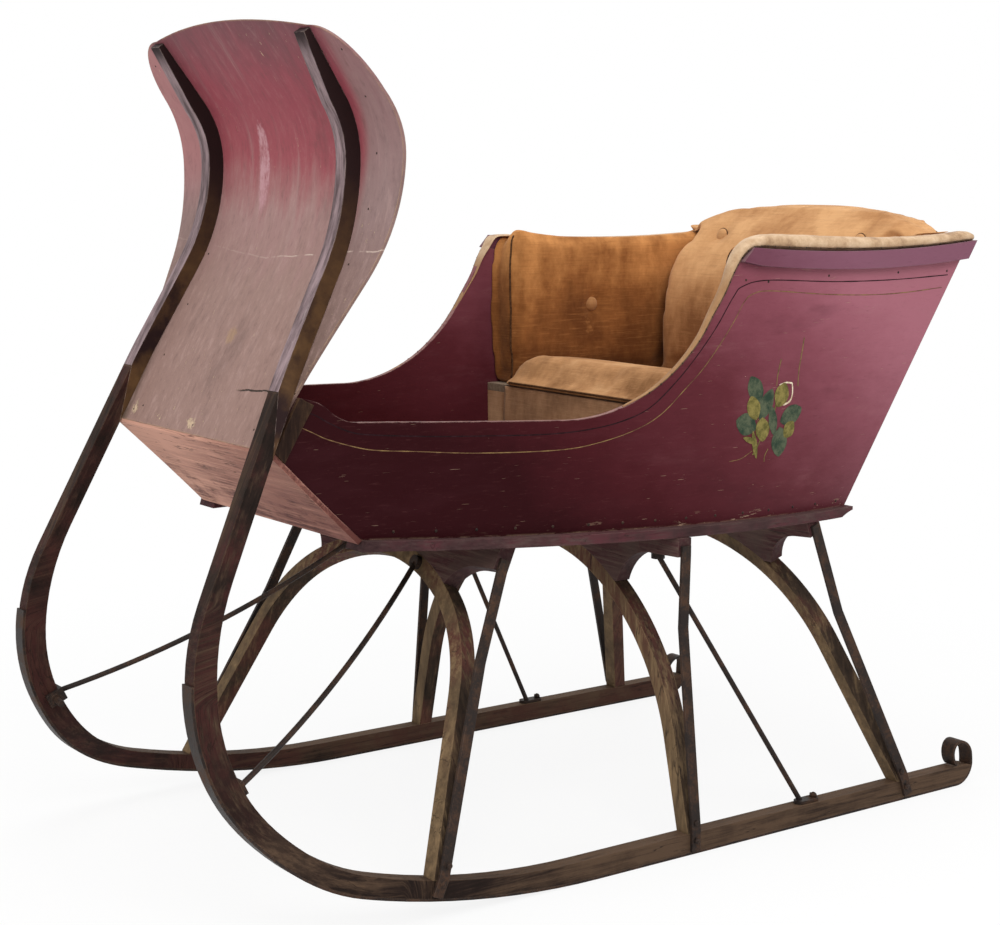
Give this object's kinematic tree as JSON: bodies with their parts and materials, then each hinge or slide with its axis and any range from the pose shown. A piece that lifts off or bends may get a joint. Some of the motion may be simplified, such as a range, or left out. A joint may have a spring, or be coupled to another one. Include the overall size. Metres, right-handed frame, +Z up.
{
  "type": "horse-drawn sleigh",
  "caption": "Light one-seat horse-drawn cutter sleigh with curved dash, upholstered seat and bentwood knees on iron-shod runners.",
  "frame": {"origin": "on the ground, under the middle of the bounding box", "axes": "+X forward in the direction of travel, +Y to the sleigh's left, +Z up"},
  "size_m": [1.9178, 1.0366, 1.6481],
  "materials": {
    "body_paint": "old maroon paint, chalked and chipped",
    "dash_paint": "worn red paint over brown boards",
    "rail_paint": "black paint, worn to grey wood on the front",
    "weathered_wood": "weathered brown wood with remains of paint",
    "plain_wood": "bare aged boards",
    "iron": "rusty wrought iron",
    "velvet": "faded tan velvet",
    "seat_cloth": "faded tan cloth"
  },
  "bodies": {
    "root": {"arm_rail_left": "body_paint", "arm_rail_right": "body_paint", "back_panel": "body_paint", "corner_batten_left": "body_paint", "corner_batten_right": "body_paint", "side_panel_left": "body_paint", "side_panel_right": "body_paint", "toe_board": "body_paint", "dash_panel": "dash_paint", "dash_rail_left": "rail_paint", "dash_rail_right": "rail_paint", "bolster_front": "weathered_wood", "bolster_middle": "weathered_wood", "bolster_rear": "weathered_wood", "knee_front": "weathered_wood", "knee_middle": "weathered_wood", "knee_rear": "weathered_wood", "runner_left": "weathered_wood", "runner_right": "weathered_wood", "sill_left": "weathered_wood", "sill_right": "weathered_wood", "floor_board": "plain_wood", "seat_board": "plain_wood", "seat_riser": "plain_wood", "brace_front_left": "iron", "brace_front_right": "iron", "brace_rear_left": "iron", "brace_rear_right": "iron", "shoe_left": "iron", "shoe_right": "iron", "stay_front_left": "iron", "stay_front_right": "iron", "stay_middle_left": "iron", "stay_middle_right": "iron", "stay_rear_left": "iron", "stay_rear_right": "iron", "arm_pad_left": "velvet", "arm_pad_right": "velvet", "back_cushion": "velvet", "seat_cushion": "velvet", "seat_fall": "seat_cloth"}
  },
  "joints": []
}
